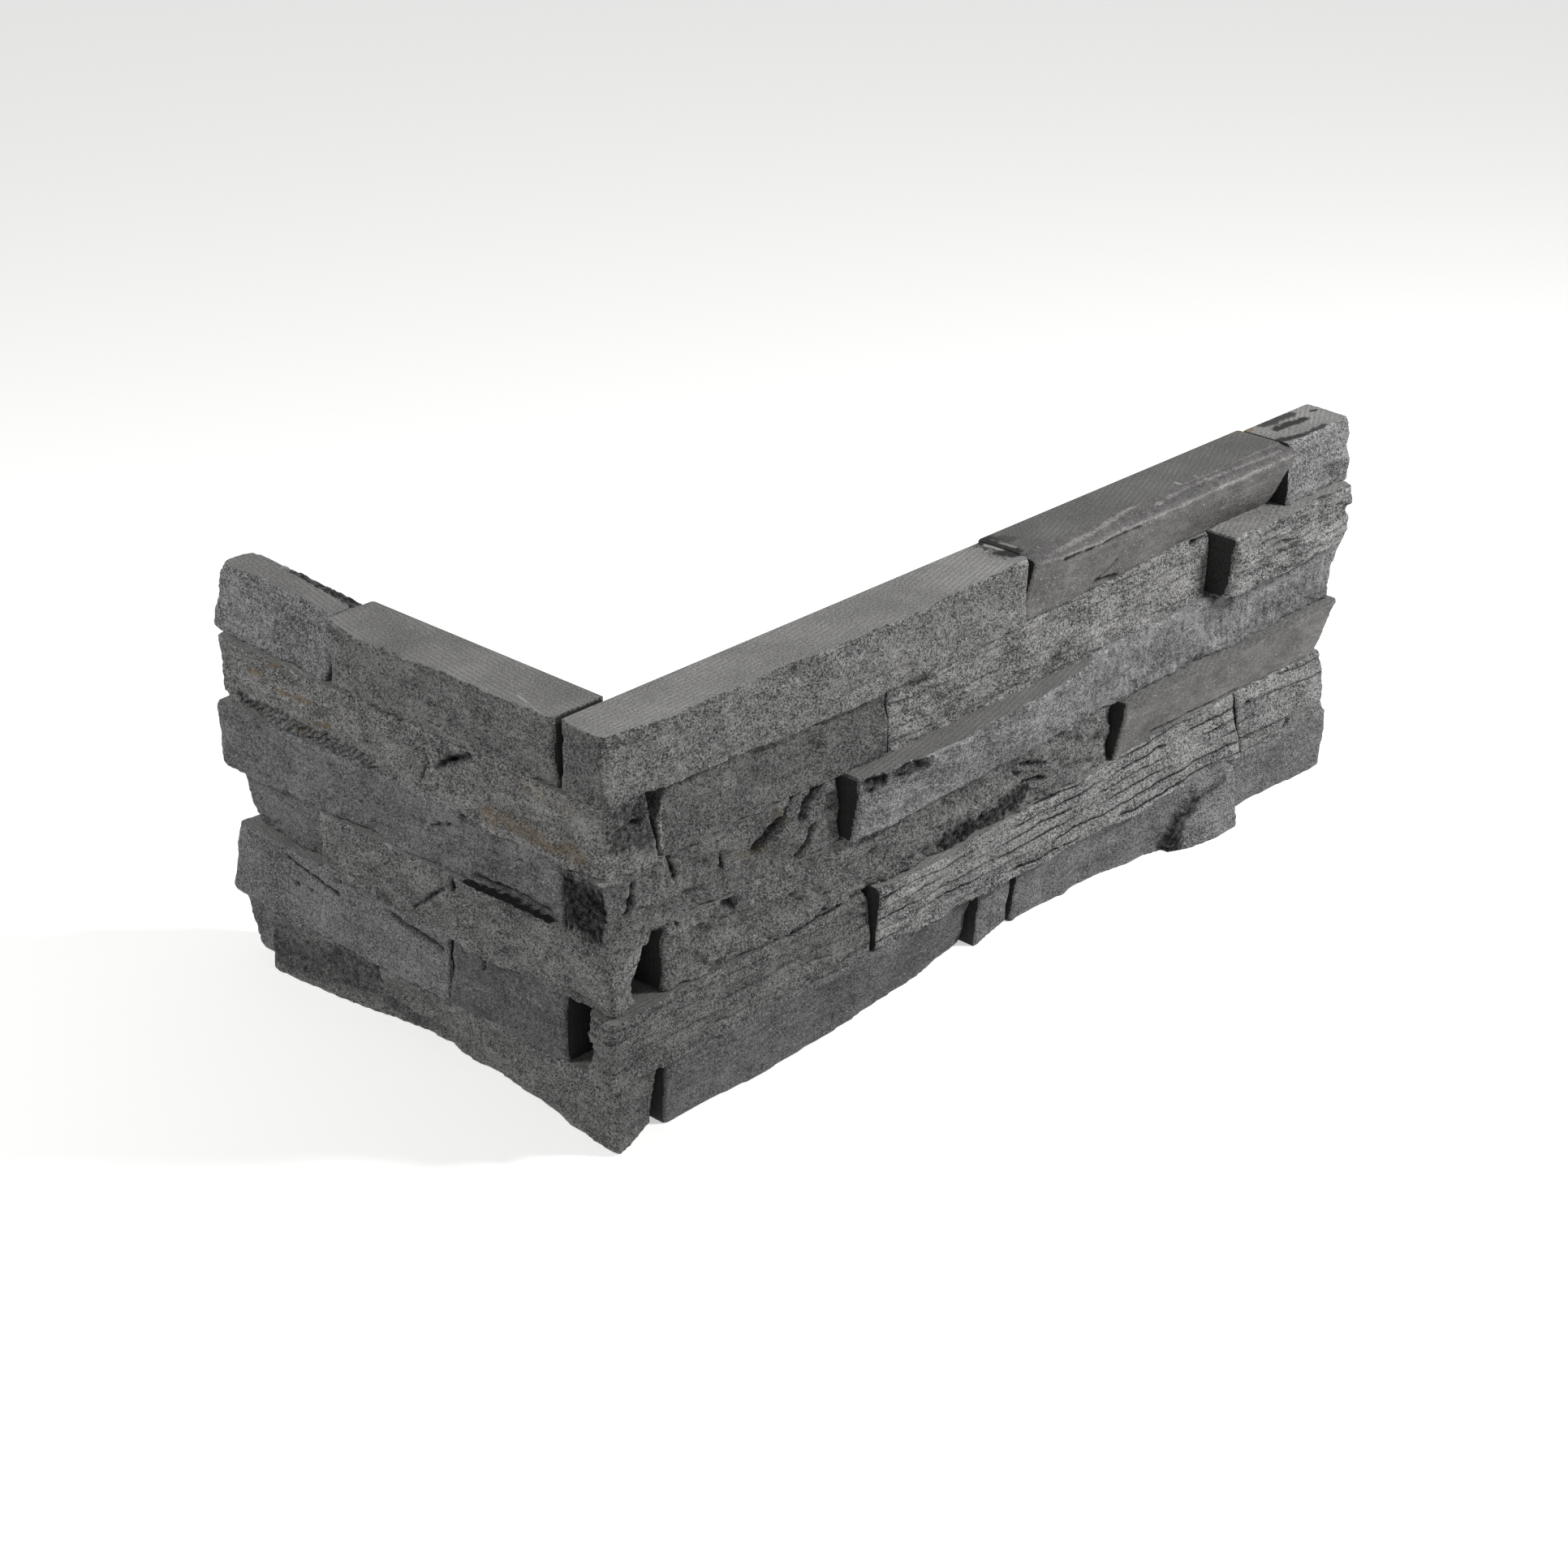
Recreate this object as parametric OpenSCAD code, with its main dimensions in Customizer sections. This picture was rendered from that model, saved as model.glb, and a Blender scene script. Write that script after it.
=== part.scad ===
// Corner unit of natural stone cladding: sawn strips of split-face stone, stacked in six
// courses and woven round an outside corner. The wall's own corner is the Z axis: the long
// leg runs along +X with its split faces towards -Y, the short leg runs along +Y with its
// split faces towards -X, and the unit stands on its sawn base at Z = 0.

/* [Unit] */
// Inner length of the long leg, from the wall's corner to its end
long_leg = 376; // [340:1:450]
// Inner length of the short leg, from the wall's corner to its end
short_leg = 176; // [150:1:220]
// Height of one course
course_h = 25; // [18:0.5:35]
// Depth of a stone from its sawn back to the mean split face
stone_depth = 20; // [18:0.5:30]

/* [Fit of the stones] */
// Gap where two stones of one leg butt end to end
butt_gap = 0.8; // [0.3:0.1:1.5]
// Gap between a corner stone's back and the stone that butts against it
corner_gap = 2.5; // [0.5:0.1:4]

/* [Stones of the long leg] */
// Corner stone of course 6, from the wall's corner to its joint
long_corner_6 = 180; // [140:1:220]
// End stone of course 6
long_end_6 = 42; // [30:1:90]
// First stone of course 5, from the wall's corner to its joint
long_first_5 = 108; // [60:1:200]
// End stone of course 5
long_end_5 = 82; // [40:1:120]
// Corner stone of course 4, from the wall's corner to its joint
long_corner_4 = 86; // [60:1:120]
// End stone of course 4
long_end_4 = 158; // [100:1:190]
// End stone of course 3
long_end_3 = 138; // [80:1:200]
// Corner stone of course 2, from the wall's corner to its joint
long_corner_2 = 103; // [60:1:180]
// End stone of course 2
long_end_2 = 57; // [35:1:100]
// First stone of course 1, from the wall's corner to its joint
long_first_1 = 164; // [100:1:190]
// Second stone of course 1
long_second_1 = 23; // [18:1:60]
// End stone of course 1
long_end_1 = 65; // [40:1:90]

/* [Stones of the short leg] */
// End stone of course 6
short_end_6 = 62; // [40:1:90]
// End stone of course 3
short_end_3 = 50; // [30:1:90]
// End stone of course 2
short_end_2 = 116; // [60:1:130]
// End stone of course 1
short_end_1 = 19; // [16:1:50]

/* [Split faces] */
// Height of the grain on a split face
grain_h = 1.1; // [0:0.1:2]
// Spacing of the relief along a split face
relief_step = 7.5; // [6:0.5:20]
// Wear of the arris between a split face and a sawn bed
arris = 0.4; // [0.2:0.1:1.5]
// Chamfer where a split face meets a sawn end
sawn_ease = 0.6; // [0.4:0.1:2]
// Chamfer where a split face meets a broken end
broken_ease = 1; // [0.5:0.5:5]

/* [Hidden] */

// Shares of the course height at which a split face has its rows of relief
levels = [0, 0.06, 0.28, 0.5, 0.72, 0.94, 1];
// Number of steps in the relief of a broken end, from its back to its split face
end_steps = 4;
// Lengths and weights of the three waves that a split face is made of
waves = [[53, 37, 0.5], [21, 16, 0.3], [12, 11, 0.2]];
// Share of the grain that is random from point to point
jitter = 0.7;
// A sawn end has no stations: it is flat and lies where its joint is
sawn = [];

granite_grey = [0.40, 0.40, 0.40];
slate_grey = [0.34, 0.34, 0.35];
brown_grey = [0.42, 0.41, 0.39];

// Value at share h of the height, between a bottom and a top value
function between(bottom, top, h) = bottom + (top - bottom) * h;

// How far a face stands proud at share t of its length and share h of its height. Each station
// of a face is [share of its length, proud at the top, proud at the bottom].
function proud(face, t, h) = between(
    lookup(t, [for (station = face) [station[0], station[2]]]),
    lookup(t, [for (station = face) [station[0], station[1]]]), h);

// Smooth part of the grain, between -1 and 1
function swell(u, z, seed, k = 0) = k == len(waves) ? 0 :
    waves[k][2] * sin(360 * (u / waves[k][0] + seed * (k + 1) / 7))
        * cos(360 * (z / waves[k][1] + u / waves[k][0] / 3 + seed * (k + 2) / 11))
    + swell(u, z, seed, k + 1);

// Wear at row j: the rows on the sawn beds are set back
function wear(j) = j == 0 || j == len(levels) - 1 ? arris : 0;

function ease(break) = break == sawn ? sawn_ease : broken_ease;

// One strip of stone, in the long leg's place. It runs along X from start to end. Its face and
// its broken ends are lists of stations: those of the face run along the strip and stand proud
// of the mean split face, and those of an end run from the back to the face and stand proud of
// start or end. The back lies that far behind the wall's face, and rough scales the grain.
module strip(course, start, end, face, seed, start_break = sawn, end_break = sawn, back = 0, rough = 1) {
    steps = max(3, round((end - start) / relief_step));
    row = steps + 2 * end_steps + 3;
    dice = rands(-1, 1, row * len(levels), seed);

    function grain(u, j, n) = grain_h * rough
        * (swell(u, levels[j] * course_h, seed) + jitter * dice[row * j + n]);
    // How far an end stands out at row j and share t of the depth
    function reach(break, j, t = 1) = break == sawn ? 0 : proud(break, t, levels[j]) - wear(j);
    // Point i of the split face at row j, as distance along the wall and distance from it
    function front(i, j) = let (u = between(start - reach(start_break, j) + ease(start_break),
            end + reach(end_break, j) - ease(end_break), i / steps))
        [u, stone_depth + proud(face, i / steps, levels[j]) - wear(j) + grain(u, j, i)];
    // Points of an end at row j, from the back to the chamfer at the split face
    function flank(x, side, break, depth, j, n) = break == sawn ? [[x, -back], [x, depth]] :
        [for (k = [0:end_steps]) let (t = k / end_steps, d = between(-back, depth, t))
            [x + side * reach(break, j, t) + grain(d, j, n + k), d]];
    function outline(j) = let (
            face_row = [for (i = [0:steps]) front(i, j)],
            near = flank(start, -1, start_break, face_row[0][1] - ease(start_break), j, steps + 1),
            far = flank(end, 1, end_break, face_row[steps][1] - ease(end_break), j,
                steps + 2 + end_steps))
        [each near, each face_row, for (k = [len(far) - 1:-1:0]) far[k]];

    n = len(outline(0));
    top = len(levels) - 1;
    points = [for (j = [0:top]) for (p = outline(j)) [p[0], -p[1], (course - 1 + levels[j]) * course_h]];
    sides = [for (j = [0:top - 1]) for (i = [0:n - 1]) let (a = j * n + i, b = j * n + (i + 1) % n)
        each [[a, a + n, b], [b, a + n, b + n]]];
    bed = [for (i = [0:n - 1]) i];
    roof = [for (i = [n - 1:-1:0]) top * n + i];
    polyhedron(points = points, faces = [each sides, bed, roof], convexity = 6);
}

// Puts a strip of the long leg into the short leg's place
module short_side() mirror([1, -1, 0]) children();

// Half of the gap between two stones of one leg
slack = butt_gap / 2;

// Course 6, the top one

module course6_corner() color(granite_grey)
    strip(6, 0, long_corner_6 - slack, start_break = [[0, 21, 21], [0.4, 22.5, 22], [1, 22, 22]], seed = 61,
        face = [[0, 0, 0], [0.12, 2.8, 2], [0.33, 2.8, 2.4], [0.5, 5.5, 5], [0.75, 5.5, 5], [1, 2, 2]]);

module course6_long1() color(brown_grey)
    strip(6, long_corner_6 + slack, long_leg - long_end_6 - slack, back = 2, rough = 0.6, seed = 62,
        face = [[0, 4.6, 0], [0.1, 8, 0], [0.4, 8, -2], [0.72, 8, -5.5], [1, 8, -5]]);

module course6_long2() color(slate_grey)
    strip(6, long_leg - long_end_6 + slack, long_leg, rough = 0.8, seed = 63,
        end_break = [[0, 0, 0], [1, 0, 0.5]],
        face = [[0, 2, 3], [0.3, 0, 2], [1, 0, 2]]);

module course6_short1() color(granite_grey)
    short_side() strip(6, corner_gap, short_leg - short_end_6 - slack, seed = 64,
        face = [[0, 2.5, 1], [0.5, 3.5, 1], [0.8, 4.5, 1], [1, 1, 0]]);

module course6_short2() color(slate_grey)
    short_side() strip(6, short_leg - short_end_6 + slack, short_leg, back = 2, seed = 65,
        end_break = [[0, -2, 0], [0.3, 3, 4], [1, 2, 7]],
        face = [[0, -3, -1], [0.3, -5, -2.5], [1, -6, -3]]);

// Course 5

module course5_corner() color(granite_grey)
    short_side() strip(5, 0, short_leg, rough = 1.2, seed = 51,
        start_break = [[0, 15, 20], [0.2, 19, 20], [1, 20, 20]],
        end_break = [[0, 0, -2], [0.6, 3, 0], [1, 2, -1]],
        face = [[0, 2, 2], [0.3, 1, 2], [0.6, 1, 1], [0.8, 1.5, 0], [1, 0, -2]]);

module course5_long1() color(slate_grey)
    strip(5, corner_gap, long_first_5 - slack, seed = 52,
        face = [[0, -3, -1], [0.1, -2, 0], [0.5, 0, 0], [1, 1, 2]]);

module course5_long2() color(granite_grey)
    strip(5, long_first_5 + slack, long_leg - long_end_5 - slack, seed = 53,
        face = [[0, 1.4, 1.4], [0.3, 0, 1], [0.6, -1, 0], [1, -4, -3]]);

module course5_long3() color(slate_grey)
    strip(5, long_leg - long_end_5 + slack, long_leg, end_break = [[0, 0, -2], [1, -3, -3]], seed = 54,
        face = [[0, 9, 5], [0.5, 9.5, 6], [0.85, 8, 5], [1, 6.5, 3.5]]);

// Course 4

module course4_corner() color(granite_grey)
    strip(4, 0, long_corner_4 - slack, start_break = [[0, 22, 22], [1, 25, 23]], rough = 1.5, seed = 41,
        face = [[0, 1, 0], [0.3, 0, -1], [0.7, 1.5, 0], [1, -1, 0]]);

module course4_long1() color(slate_grey)
    strip(4, long_corner_4 + slack, long_leg - long_end_4 - slack, seed = 42,
        face = [[0, 9, 5], [0.15, 12, 5], [0.35, 13, 4], [0.7, 11, 3], [1, 5, 2]]);

module course4_long2() color(granite_grey)
    strip(4, long_leg - long_end_4 + slack, long_leg, end_break = [[0, 0, -5], [1, 2, -4]], seed = 43,
        face = [[0, 1, 0], [0.5, 0, 0], [1, 0, -1]]);

module course4_short1() color(slate_grey)
    short_side() strip(4, corner_gap, short_leg, end_break = [[0, 2, 0], [1, 3, 1]], rough = 0.6, seed = 44,
        face = [[0, 1, 0], [0.05, 1, -2.5], [0.15, 1, -3.5], [0.25, 1, -1], [0.7, 1, 0], [1, 1, 1]]);

// Course 3

module course3_corner() color(granite_grey)
    short_side() strip(3, 0, short_leg - short_end_3 - slack, rough = 1.2, seed = 31,
        start_break = [[0, 17, 4], [0.3, 19, 11], [0.6, 19, 19], [1, 18, 20]],
        face = [[0, 1, 1], [0.4, 1, 1.5], [0.7, 1.5, 0], [1, 1, -0.5]]);

module course3_short1() color(slate_grey)
    short_side() strip(3, short_leg - short_end_3 + slack, short_leg, rough = 0.6, seed = 32,
        end_break = [[0, -2, -6], [1, 0, -4]],
        face = [[0, -4, -7], [1, -5, -8.5]]);

module course3_long1() color(slate_grey)
    strip(3, corner_gap, long_leg - long_end_3 - slack, rough = 1.3, seed = 33,
        face = [[0, -1, 0], [0.1, 0, 0], [0.6, 0, -0.5], [0.85, -1, -1], [1, -4, -3.5]]);

module course3_long2() color(brown_grey)
    strip(3, long_leg - long_end_3 + slack, long_leg, rough = 0.5, seed = 34,
        end_break = [[0, 0, -4], [1, -2, -3]],
        face = [[0, 4, -1], [0.06, 6, -3], [0.3, 6, -5], [0.7, 5.5, -5.5], [1, 3.5, -5]]);

// Course 2

module course2_corner() color(granite_grey)
    strip(2, 0, long_corner_2 - slack, rough = 1.1, seed = 21,
        start_break = [[0, 7, 8], [0.25, 9, 11], [0.5, 22, 23], [1, 24, 25]],
        face = [[0, 3, 2], [0.3, 2, 1], [0.8, 0.5, 0], [1, -1.5, 0]]);

module course2_long1() color(slate_grey)
    strip(2, long_corner_2 + slack, long_leg - long_end_2 - slack, seed = 22,
        face = [[0, 3, 1], [0.15, 3.5, 1.5], [0.4, 1, 1], [0.62, -1, 1], [0.75, -4.5, 0.5], [1, -5, 0]]);

module course2_long2() color(granite_grey)
    strip(2, long_leg - long_end_2 + slack, long_leg, end_break = [[0, -1, -1], [1, 0, 0]], seed = 23,
        face = [[0, -5, 0], [0.5, -4.5, 0], [1, -4, 0]]);

module course2_short1() color(slate_grey)
    short_side() strip(2, corner_gap, short_leg - short_end_2 - slack, seed = 24,
        face = [[0, 0.5, 1], [0.5, -0.5, 0.5], [1, -1, 1]]);

module course2_short2() color(slate_grey)
    short_side() strip(2, short_leg - short_end_2 + slack, short_leg, rough = 0.5, seed = 25,
        end_break = [[0, 2, 1], [1, 3, 3]],
        face = [[0, -1, 1], [0.4, -2, 1], [1, -4.5, 0]]);

// Course 1, the bottom one

module course1_corner() color(granite_grey)
    short_side() strip(1, 0, short_leg - short_end_1 - slack, rough = 0.9, seed = 11,
        start_break = [[0, 18, 14], [1, 21, 21.5]],
        face = [[0, 1, 1.5], [0.1, 1, 0], [0.2, 0.5, -2.7], [0.3, 0, -6], [0.44, 0, -6.5],
            [0.55, 0, -9.5], [0.66, -1, -8.4], [0.72, -2, -6.3], [0.8, 0, -3], [1, 1, 0.7]]);

module course1_short1() color(slate_grey)
    short_side() strip(1, short_leg - short_end_1 + slack, short_leg, rough = 0.5, seed = 12,
        end_break = [[0, 4, -4], [1, 5, -3]],
        face = [[0, -5, -6.6], [1, -5, -6.6]]);

module course1_long1() color(slate_grey)
    strip(1, corner_gap, long_first_1 - slack, rough = 0.6, seed = 13,
        face = [[0, 0, -1.5], [0.3, 0, 0], [0.58, 1, -2], [0.85, 0, -6.5], [1, -5, -11.5]]);

module course1_long2() color(slate_grey)
    strip(1, long_first_1 + slack, long_first_1 + long_second_1 - slack, rough = 0.5, seed = 14,
        face = [[0, -3, -4.6], [1, -6, -8.6]]);

module course1_long3() color(granite_grey)
    strip(1, long_first_1 + long_second_1 + slack, long_leg - long_end_1 - slack, seed = 15,
        face = [[0, -3, -6.9], [0.35, -2, -7.8], [0.6, -1, -5.2], [0.72, 0, -0.3], [0.83, 1.5, 4.6],
            [1, 1, 5]]);

module course1_long4() color(slate_grey)
    strip(1, long_leg - long_end_1 + slack, long_leg, end_break = [[0, 0, 0], [1, 1, 1.5]], seed = 16,
        face = [[0, -1, -3], [0.5, 0, -2], [1, 0, -1]]);

course6_corner();
course6_long1();
course6_long2();
course6_short1();
course6_short2();
course5_corner();
course5_long1();
course5_long2();
course5_long3();
course4_corner();
course4_long1();
course4_long2();
course4_short1();
course3_corner();
course3_long1();
course3_long2();
course3_short1();
course2_corner();
course2_long1();
course2_long2();
course2_short1();
course2_short2();
course1_corner();
course1_long1();
course1_long2();
course1_long3();
course1_long4();
course1_short1();
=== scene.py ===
# Corner unit of natural stone cladding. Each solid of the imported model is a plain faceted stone. Here
# each is remeshed, its facets are smoothed away, and its split faces are broken up again in the way
# that the stone splits. The sawn beds, backs and ends stay flat.
import math

import bmesh
import bpy
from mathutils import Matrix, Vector, noise


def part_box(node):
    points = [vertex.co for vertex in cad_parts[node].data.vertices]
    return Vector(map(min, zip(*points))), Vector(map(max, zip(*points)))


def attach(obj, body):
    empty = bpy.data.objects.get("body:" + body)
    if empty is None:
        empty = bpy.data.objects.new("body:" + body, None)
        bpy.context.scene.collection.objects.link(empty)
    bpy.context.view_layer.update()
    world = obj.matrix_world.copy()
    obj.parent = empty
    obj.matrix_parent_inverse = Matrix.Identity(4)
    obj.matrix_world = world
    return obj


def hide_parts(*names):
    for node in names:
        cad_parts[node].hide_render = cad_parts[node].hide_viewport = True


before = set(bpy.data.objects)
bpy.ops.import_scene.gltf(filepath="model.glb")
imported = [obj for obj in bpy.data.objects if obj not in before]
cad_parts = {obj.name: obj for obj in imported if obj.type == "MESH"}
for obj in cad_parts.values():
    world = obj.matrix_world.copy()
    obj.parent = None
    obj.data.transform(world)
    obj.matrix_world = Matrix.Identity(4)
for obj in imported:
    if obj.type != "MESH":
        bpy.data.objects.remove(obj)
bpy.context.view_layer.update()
scene = bpy.context.scene
mm = 0.001


def linear(code):
    # the linear colour that a shader takes, from an sRGB hex value
    parts = [int(code[i:i + 2], 16) / 255 for i in (1, 3, 5)]
    return [c / 12.92 if c <= 0.04045 else ((c + 0.055) / 1.055) ** 2.4 for c in parts] + [1]


def addNode(owner, kind, sockets, **settings):
    # a socket is given by its name or number, and takes a value or another node's output
    tree = owner.node_tree
    node = tree.nodes.new(kind)
    for name, value in settings.items():
        setattr(node, name, value)
    for name, value in sockets.items():
        if isinstance(value, bpy.types.NodeSocket):
            tree.links.new(value, node.inputs[name])
        else:
            node.inputs[name].default_value = value
    return node


def newMaterial(name):
    material = bpy.data.materials.new(name)
    material.use_nodes = True
    material.node_tree.nodes.clear()
    return material


# Split stone: the grains catch the light one by one, so a face looks salt and pepper, with darker
# streaks along the layers and thin seams between them that are painted dark with shade. Granite has the
# strongest contrast, slate is finer and more even, the brown stone broke nearly smooth, the layered one
# has dark streaks along its layers, and in the upright one the layers stand on edge. Lengths are in
# millimetres. The real grains are near 0.3 mm, too fine to show, so they are drawn at nearly 0.6 mm.
splitStone = {
    "granite": {"dark": "#121212", "pale": "#9a9998", "grain": 0.58, "contrast": 2.3, "bump": 0.55,
                "streak": 0.7, "streakSize": (11, 1.1), "patch": 14, "roughness": 0.78},
    "slate": {"dark": "#191919", "pale": "#868687", "grain": 0.56, "contrast": 2.0, "bump": 0.45,
              "streak": 0.7, "streakSize": (14, 1.1), "patch": 20, "roughness": 0.75},
    "brown": {"dark": "#302f2f", "pale": "#7d7b7a", "grain": 0.54, "contrast": 1.3, "bump": 0.16,
              "streak": 0.45, "streakSize": (20, 1.6), "patch": 22, "roughness": 0.68},
    "layered": {"dark": "#141415", "pale": "#9b9b9a", "grain": 0.58, "contrast": 2.1, "bump": 0.55,
                "streak": 1.1, "streakSize": (16, 1.0), "patch": 13, "roughness": 0.78},
    "upright": {"dark": "#1a1a1b", "pale": "#8d8c8d", "grain": 0.58, "contrast": 1.4, "bump": 0.36,
                "streak": 1.1, "streakSize": (1.6, 10), "patch": 12, "roughness": 0.75},
}
# What all five share: how much each pattern counts, the rust, the flakes of mica with their painted
# glint and their number along a millimetre, how far from a seam its line of painted shade ends and has
# faded out (2 pi times the distance in millimetres), the gloss in a crack and on the face, and the IOR
# of quartz and feldspar
everySplit = {"grains": 2.2, "specks": 0.55, "streaks": 1.1, "patches": 1.3, "rust": "#6b5a38",
              "mostRust": 0.8, "micaAndGlint": "#d8d8d6", "micaPerMm": 0.45, "micaSize": 0.13,
              "seamShadeLine": (1.0, 2.4), "gloss": (0.05, 0.5), "ior": 1.54}


def makeSplitStone(name, look):
    material = newMaterial("split_" + name)
    place = addNode(material, "ShaderNodeTexCoord", {}).outputs["Object"]
    # one unit of these two is 1 mm; the second is drawn out along the layers
    even = addNode(material, "ShaderNodeMapping", {
        "Vector": place, "Scale": (1000, 1000, 1000)}).outputs[0]
    along = addNode(material, "ShaderNodeMapping", {
        "Vector": place, "Scale": (600, 600, 1000)}).outputs[0]
    grain = addNode(material, "ShaderNodeTexNoise", {
        "Vector": along, "Scale": 1.3 / look["grain"], "Detail": 4, "Roughness": 0.75}).outputs[0]
    speck = addNode(material, "ShaderNodeTexVoronoi", {"Vector": even, "Scale": 1 / look["grain"]})
    speckTone = addNode(material, "ShaderNodeRGBToBW", {0: speck.outputs["Color"]}).outputs[0]
    length, height = look["streakSize"]
    streak = addNode(material, "ShaderNodeMapping", {
        "Vector": place, "Scale": (1000 / length, 1000 / length, 1000 / height)}).outputs[0]
    streak = addNode(material, "ShaderNodeTexNoise", {
        "Vector": streak, "Scale": 1, "Detail": 3, "Roughness": 0.6, "Distortion": 0.4}).outputs[0]
    patch = addNode(material, "ShaderNodeTexNoise", {
        "Vector": along, "Scale": 1.4 / look["patch"], "Detail": 3, "Roughness": 0.6}).outputs[0]
    # the sum of the patterns, centred on a half
    share = everySplit["grains"] * look["contrast"]
    total = addNode(material, "ShaderNodeMath", {0: grain, 1: share, 2: 0.5 - share / 2},
                    operation="MULTIPLY_ADD").outputs[0]
    for pattern, share in ((speckTone, everySplit["specks"] * look["contrast"]),
                           (streak, everySplit["streaks"] * look["streak"]),
                           (patch, everySplit["patches"])):
        part = addNode(material, "ShaderNodeMath", {0: pattern, 1: share, 2: -share / 2},
                       operation="MULTIPLY_ADD").outputs[0]
        total = addNode(material, "ShaderNodeMath", {0: total, 1: part}, operation="ADD").outputs[0]
    share = addNode(material, "ShaderNodeMapRange", {
        0: total, 1: 0.0, 2: 1.0, 3: 0.0, 4: 1.0}).outputs[0]
    colour = addNode(material, "ShaderNodeMix", {
        0: share, 6: linear(look["dark"]), 7: linear(look["pale"])}, data_type="RGBA").outputs[2]
    # rust stains follow the grain
    rust = addNode(material, "ShaderNodeAttribute", {}, attribute_name="rust").outputs["Fac"]
    rust = addNode(material, "ShaderNodeMath", {0: rust, 1: grain}, operation="MULTIPLY").outputs[0]
    rust = addNode(material, "ShaderNodeMapRange", {
        0: rust, 1: 0.08, 2: 0.5, 3: 0.0, 4: everySplit["mostRust"]}).outputs[0]
    colour = addNode(material, "ShaderNodeMix", {
        0: rust, 6: colour, 7: linear(everySplit["rust"])}, data_type="RGBA").outputs[2]
    # each stone's own tone and its dark and pale marks, with painted shade in its hollows, seams,
    # cracks and notches, and painted light where it stands out and on its upper arris
    tone = addNode(material, "ShaderNodeAttribute", {}, attribute_name="tone").outputs["Fac"]
    # the seam's x and y turn once for each layer, with the seam where they turn past +x, and z says how
    # strong it is
    seam = addNode(material, "ShaderNodeAttribute", {}, attribute_name="seam").outputs["Vector"]
    seam = addNode(material, "ShaderNodeSeparateXYZ", {0: seam}).outputs
    away = addNode(material, "ShaderNodeMath", {
        0: grain, 1: 2.4, 2: -1.2}, operation="MULTIPLY_ADD").outputs[0]
    away = addNode(material, "ShaderNodeMath", {0: seam[1], 1: away}, operation="ADD").outputs[0]
    away = addNode(material, "ShaderNodeMath", {0: away}, operation="ABSOLUTE").outputs[0]
    # painted shade along each seam, darkest on it and fading out to each side
    lineEnd, fadedOut = everySplit["seamShadeLine"]
    seamShade = addNode(material, "ShaderNodeMapRange", {
        0: away, 1: lineEnd, 2: fadedOut, 3: 1.0, 4: 0.0}).outputs[0]
    ahead = addNode(material, "ShaderNodeMath", {
        0: seam[0], 1: 0.0}, operation="GREATER_THAN").outputs[0]
    seamShade = addNode(material, "ShaderNodeMath", {0: seamShade, 1: ahead}, operation="MULTIPLY").outputs[0]
    seamShade = addNode(material, "ShaderNodeMath", {0: seamShade, 1: seam[2]}, operation="MULTIPLY").outputs[0]
    kept = addNode(material, "ShaderNodeMath", {
        0: 1.0, 1: seamShade}, operation="SUBTRACT", use_clamp=True).outputs[0]
    tone = addNode(material, "ShaderNodeMath", {0: tone, 1: kept}, operation="MULTIPLY").outputs[0]
    toned = addNode(material, "ShaderNodeVectorMath", {
        0: colour, "Scale": tone}, operation="SCALE").outputs[0]
    # no light gets out of a crack, so its gloss goes too
    inCrack, onFace = everySplit["gloss"]
    gloss = addNode(material, "ShaderNodeMapRange", {
        0: tone, 1: 0.1, 2: 0.7, 3: inCrack, 4: onFace}).outputs[0]
    # flakes of mica, painted white: partly their own pale colour and partly a painted glint
    micaAndGlint = addNode(material, "ShaderNodeTexVoronoi", {
        "Vector": even, "Scale": everySplit["micaPerMm"]}).outputs["Distance"]
    micaAndGlint = addNode(material, "ShaderNodeMath", {
        0: micaAndGlint, 1: everySplit["micaSize"]}, operation="LESS_THAN").outputs[0]
    micaAndGlint = addNode(material, "ShaderNodeMath", {
        0: micaAndGlint, 1: tone}, operation="MULTIPLY", use_clamp=True).outputs[0]
    micaAndGlint = addNode(material, "ShaderNodeMath", {0: micaAndGlint, 1: grain}, operation="MULTIPLY").outputs[0]
    toned = addNode(material, "ShaderNodeMix", {
        0: micaAndGlint, 6: toned, 7: linear(everySplit["micaAndGlint"])}, data_type="RGBA").outputs[2]
    height = addNode(material, "ShaderNodeMath", {0: grain, 1: 1.0, 2: speckTone},
                     operation="MULTIPLY_ADD").outputs[0]
    bump = addNode(material, "ShaderNodeBump", {
        "Height": height, "Strength": 1.0, "Distance": look["bump"] * mm}).outputs[0]
    surface = addNode(material, "ShaderNodeBsdfPrincipled", {
        "Base Color": toned, "Roughness": look["roughness"], "IOR": everySplit["ior"],
        "Specular IOR Level": gloss, "Normal": bump}).outputs[0]
    addNode(material, "ShaderNodeOutputMaterial", {"Surface": surface})
    return material
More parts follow.
